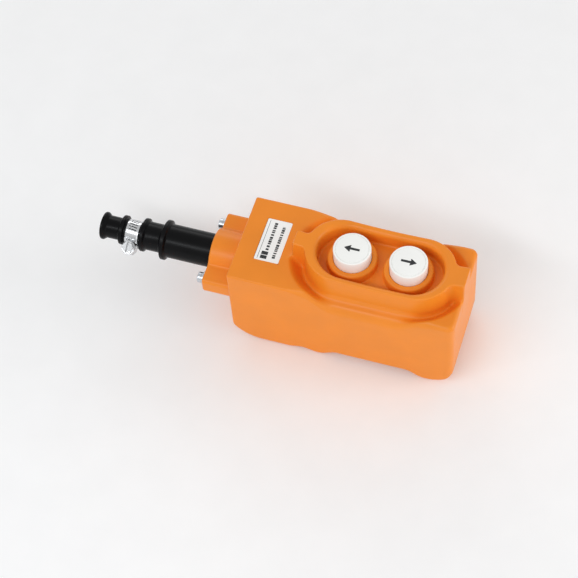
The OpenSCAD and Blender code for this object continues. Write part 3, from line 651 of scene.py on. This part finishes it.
def build_band():
    """The slotted strip, and its tail, which runs over it and through the worm's bridge."""
    points, faces = strip(BAND_R + 0.05, 20, 340, 40, 264, 13)
    tail, tail_faces = strip(BAND_R + 0.72, -52, 60, -46, 40, 13)
    faces = list(faces) + [tuple(i + len(points) for i in f) for f in tail_faces]
    band = new_mesh("clamp_strip", at_clamp(np.concatenate((points, tail))), faces)
    thick = band.modifiers.new("thickness", "SOLIDIFY")
    thick.thickness = 0.6 * MM
    thick.offset = 1
    bevel = band.modifiers.new("soft_edges", "BEVEL")
    bevel.width = 0.12 * MM
    bevel.segments = 2
    finish_piece(band, "housing", "clamp_steel", BRIGHT, "clamp_band")


def clamp_housing_field(x, y, z):
    """A stamped bridge over the worm, with two feet folded around the strip."""
    base = BAND_R + 0.7
    away = np.hypot(x, z - WORM_AXIS_R)
    round_sleeve = np.hypot(y, z)
    tunnel = np.maximum(away - 2.95, np.abs(y) - 5)
    skirt = overlap(np.abs(x) - 2.95, slab(z, base, WORM_AXIS_R), np.abs(y) - 5)
    foot = overlap(slab(round_sleeve, base + 0.7, base + 1.4), np.abs(x) - 4.9, np.abs(y) - 4.4)
    body = join(np.minimum(tunnel, skirt), foot, 0.5)
    rib = np.maximum(np.hypot(z - WORM_AXIS_R - 3.0, np.abs(y) - 3) - 0.55, np.abs(x) - 1.6)
    body = join(body, rib, 0.3)
    body = without(body, away - 2.25, 0.1)
    return np.maximum(body, base + 0.7 - round_sleeve)


def build_clamp_housing():
    points, faces, normals = skin(clamp_housing_field, steps((-5.5, 5.5, 0.25)),
                                  steps((-5.6, 5.6, 0.25)), steps((7.8, 15.6, 0.22)), relax=1)
    bridge = new_mesh("clamp_bridge", at_clamp(points), faces, turn_normals(normals))
    finish_piece(bridge, "housing", "clamp_steel", BRIGHT, "clamp_housing")


def worm_field(x, y, z):
    """A worm along y with a flanged hexagon head at its +y end, slotted across."""
    z = z - WORM_AXIS_R
    away = np.hypot(x, z)
    pitch = 1.9
    phase = (y / pitch - np.arctan2(z, x) / math.tau) % 1
    thread = np.clip(np.abs(phase - 0.5) * 2.6 - 0.45, 0, 1)
    worm = common(away - 1.45 - 0.6 * thread, slab(y, -5.9, 6.1), 0.2)
    flange = common(away - 4.6, slab(y, 6.0, 6.8), 0.3)
    flats = [np.abs(x * math.cos(a) + z * math.sin(a)) - 3.6 for a in np.radians((30, 90, 150))]
    hexagon = overlap(*flats)
    cone = (away + (y - 9.8) * 1.2 - 3.6) * 0.64
    head = common(np.maximum(hexagon, cone), slab(y, 6.2, 9.75), 0.2)
    head = without(np.minimum(head, flange), np.maximum(np.abs(x) - 0.6, 8.5 - y), 0.12)
    return np.minimum(worm, head)


def build_clamp_screw():
    points, faces, normals = skin(worm_field, steps((-5.0, 5.0, 0.2)), steps((-6.6, 10.4, 0.2)),
                                  steps((WORM_AXIS_R - 5.0, WORM_AXIS_R + 5.0, 0.2)), relax=1)
    worm = new_mesh("clamp_worm", at_clamp(points), faces, turn_normals(normals))
    finish_piece(worm, "clamp_screw", "clamp_steel", BRIGHT, "clamp_screw")


# ---- buttons ----
def build_button(which):
    """A hollow cap with a fine groove around its face, and the arrow printed on it."""
    x0 = BUTTON_X[which]
    body = which + "_button"
    top = BUTTON_Z
    # half section as (height, radius, corner radius), turned about the button's own axis
    section = [
        (83.5, 0.02, 0.0), (83.5, 3.3, 0.0), (76.0, 3.3, 0.2), (76.0, 5.5, 0.3), (83.5, 5.5, 0.5),
        (83.5, 10.0, 0.8), (64.7, 10.0, 0.2), (64.7, 14.0, 0.3), (66.7, 14.0, 0.3),
        (66.7, BUTTON_R, 0.4), (top, BUTTON_R, 0.8), (top, 11.0, 0.1), (top - 0.5, 10.95, 0.1),
        (top - 0.5, 10.55, 0.1), (top, 10.5, 0.15), (top, 0.02, 0.0),
    ]
    profile = rounded([(h, r) for h, r, _ in section], [c for _, _, c in section], 4)
    turned, faces = lathe(profile, 96)
    points = np.stack((turned[:, 1] + x0, turned[:, 2], turned[:, 0]), axis=1)
    cap = new_mesh(which + "_cap_moulded", place(points), faces)
    soften(cap, 30)
    finish_piece(cap, body, "button_white", WHITE, which + "_button_cap")

    point_way = -1 if which == "up" else 1
    shaft, neck, barb, tip = (-5.0, 0.85), (1.3, 0.85), (0.9, 2.8), (5.4, 0)
    outline = [shaft, neck, barb, tip] + [(a, -b) for a, b in (barb, neck, shaft)]
    flat = rounded(outline, [0.25, 0.3, 0.25, 0.3, 0.25, 0.3, 0.25], 3)
    points, faces = extrude([(x0 + point_way * a, b) for a, b in flat], top - 0.25, top + 0.03)
    if point_way < 0:
        faces = [f[::-1] for f in faces]
    arrow = new_mesh(which + "_arrow_print", place(points), faces)
    soften(arrow)
    finish_piece(arrow, body, "legend_black", INK, which + "_button_arrow")


def build_spring(which):
    """A coil spring with closed ends."""
    low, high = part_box(which + "_return_spring")
    wire = 0.6 * MM
    around, sides, turns = 24, 8, 7
    rings = turns * around
    x0 = (low.x + high.x) / 2
    points, faces = [], []
    for i in range(rings + 1):
        t = i / rings
        # nearly level at both ends, so that the end coils close
        climb = 0.08 * t + 0.92 * float(rise(t, 0.1, 0.8))
        z = low.z + wire + (high.z - low.z - 2 * wire) * climb
        a = math.tau * turns * t
        for j in range(sides):
            b = math.tau * j / sides
            r = 7.0 * MM + wire * math.cos(b)
            points.append((x0 + r * math.cos(a), r * math.sin(a), z + wire * math.sin(b)))
    for i in range(rings):
        for j in range(sides):
            k = (j + 1) % sides
            faces.append((i * sides + j, (i + 1) * sides + j, (i + 1) * sides + k, i * sides + k))
    faces += [tuple(range(sides)), tuple(rings * sides + j for j in range(sides))[::-1]]
    spring = new_mesh(which + "_coil", points, faces)
    finish_piece(spring, "housing", "zinc_steel", ZINC, which + "_return_spring")
    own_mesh(spring)


# ---- label ----
def plate(low, high, r, parts=4):
    """A thin plate with rounded corners."""
    corners = [(low[0], low[1]), (high[0], low[1]), (high[0], high[1]), (low[0], high[1])]
    return extrude(rounded(corners, [r] * 4, parts), low[2], high[2])


def build_label():
    top = FACE_Z - 0.03
    points, faces = plate((LABEL_X[0], LABEL_Y[0], LABEL_FLOOR_Z), (LABEL_X[1], LABEL_Y[1], top), 0.8)
    sticker = new_mesh("label_sticker", place(points), faces)
    soften(sticker)
    finish_piece(sticker, "housing", "label_white", LABEL, "label_plate")
    # generic print: a rule, two bold blocks and two rows of small marks
    rng = np.random.default_rng(7)
    marks = [((14.9, -13.6), (15.15, 16.6))]
    marks += [((16.6, y), (20.9, y + 2.6)) for y in (-13.2, -10.1)]
    for row_x, height, start, stop in ((18.4, 2.0, -6.4, 15.6), (24.2, 2.0, -11.6, 13.4)):
        y = start
        while y < stop:
            length = rng.uniform(0.8, 1.7)
            marks.append(((row_x, y), (row_x + height, min(y + length, stop))))
            y += length + rng.choice((0.35, 0.35, 0.9))
    points, faces = [], []
    for (x0, y0), (x1, y1) in marks:
        p, f = plate((x0, y0, top - 0.01), (x1, y1, FACE_Z), 0.15, 2)
        faces += [tuple(i + len(points) for i in face) for face in f]
        points += p
    ink = new_mesh("label_marks", place(points), faces)
    soften(ink)
    finish_piece(ink, "housing", "legend_black", INK, "label_print")


# ---- camera, light and floor ----
CAMERA_AIM = Vector((0.0104, -0.0158, 0.0465))
CAMERA_DISTANCE = 1.2143
CAMERA_AZIMUTH = 22.14     # degrees, from -Y towards +X
CAMERA_ELEVATION = 57.47
CAMERA_ROLL = -5.61
CAMERA_LENS = 116.4        # mm on a 36 mm sensor


def build_camera():
    az, el, roll = map(math.radians, (CAMERA_AZIMUTH, CAMERA_ELEVATION, CAMERA_ROLL))
    back = Vector((math.sin(az) * math.cos(el), -math.cos(az) * math.cos(el), math.sin(el)))
    level = Vector((math.cos(az), math.sin(az), 0))
    upright = back.cross(level)
    right = level * math.cos(roll) + upright * math.sin(roll)
    up = upright * math.cos(roll) - level * math.sin(roll)
    data = bpy.data.cameras.new("camera")
    data.lens = CAMERA_LENS
    data.sensor_width = 36
    data.clip_end = 10
    camera = bpy.data.objects.new("camera", data)
    camera.matrix_world = Matrix.Translation(CAMERA_AIM + back * CAMERA_DISTANCE) @ Matrix((
        (right.x, up.x, back.x, 0), (right.y, up.y, back.y, 0), (right.z, up.z, back.z, 0),
        (0, 0, 0, 1)))
    bpy.context.scene.collection.objects.link(camera)
    bpy.context.scene.camera = camera


def area_light(name, spot, target, size, watts, color=(1, 1, 1)):
    """A rectangular lamp at spot, facing target."""
    data = bpy.data.lights.new(name, "AREA")
    data.shape = "RECTANGLE"
    data.size, data.size_y = size
    data.energy = watts
    data.color = color
    lamp = bpy.data.objects.new(name, data)
    lamp.location = spot
    lamp.rotation_euler = (Vector(target) - Vector(spot)).to_track_quat("-Z", "Y").to_euler()
    bpy.context.scene.collection.objects.link(lamp)


def build_studio():
    scene = bpy.context.scene
    scene.view_settings.view_transform = "Standard"
    world = bpy.data.worlds.new("studio")
    world.use_nodes = True
    world.node_tree.nodes["Background"].inputs["Color"].default_value = (1, 1, 1, 1)
    world.node_tree.nodes["Background"].inputs["Strength"].default_value = 0.6
    scene.world = world
    area_light("key", (-0.3, -0.75, 0.95), (-0.05, 0, 0.05), (1.0, 0.12), 4.4, (0.94, 0.97, 1.0))
    area_light("front", (0.3, -1.1, 0.35), (0, 0, 0.04), (0.9, 0.4), 1.2)
    area_light("end", (1.0, 0.15, 0.3), (0.1, 0, 0.04), (0.5, 0.4), 3.0)
    area_light("back", (-0.5, 1.1, 0.6), (0, 0, 0.06), (0.9, 0.4), 2.5)
    floor_mesh = bpy.data.meshes.new("floor")
    floor_mesh.from_pydata([(-3, -3, 0), (3, -3, 0), (3, 3, 0), (-3, 3, 0)], [], [(0, 1, 2, 3)])
    floor = bpy.data.objects.new("floor", floor_mesh)
    scene.collection.objects.link(floor)
    floor_mesh.materials.append(
        material("paper_floor", (0.96, 0.96, 0.96), 0.8, vary=0.01, grain=300, bump=0.01))


build_camera()
build_studio()
build_housing()
build_cap()
build_cap_screws()
build_sleeve()
build_band()
build_clamp_housing()
build_clamp_screw()
for which in BUTTON_X:
    build_button(which)
    build_spring(which)
build_label()
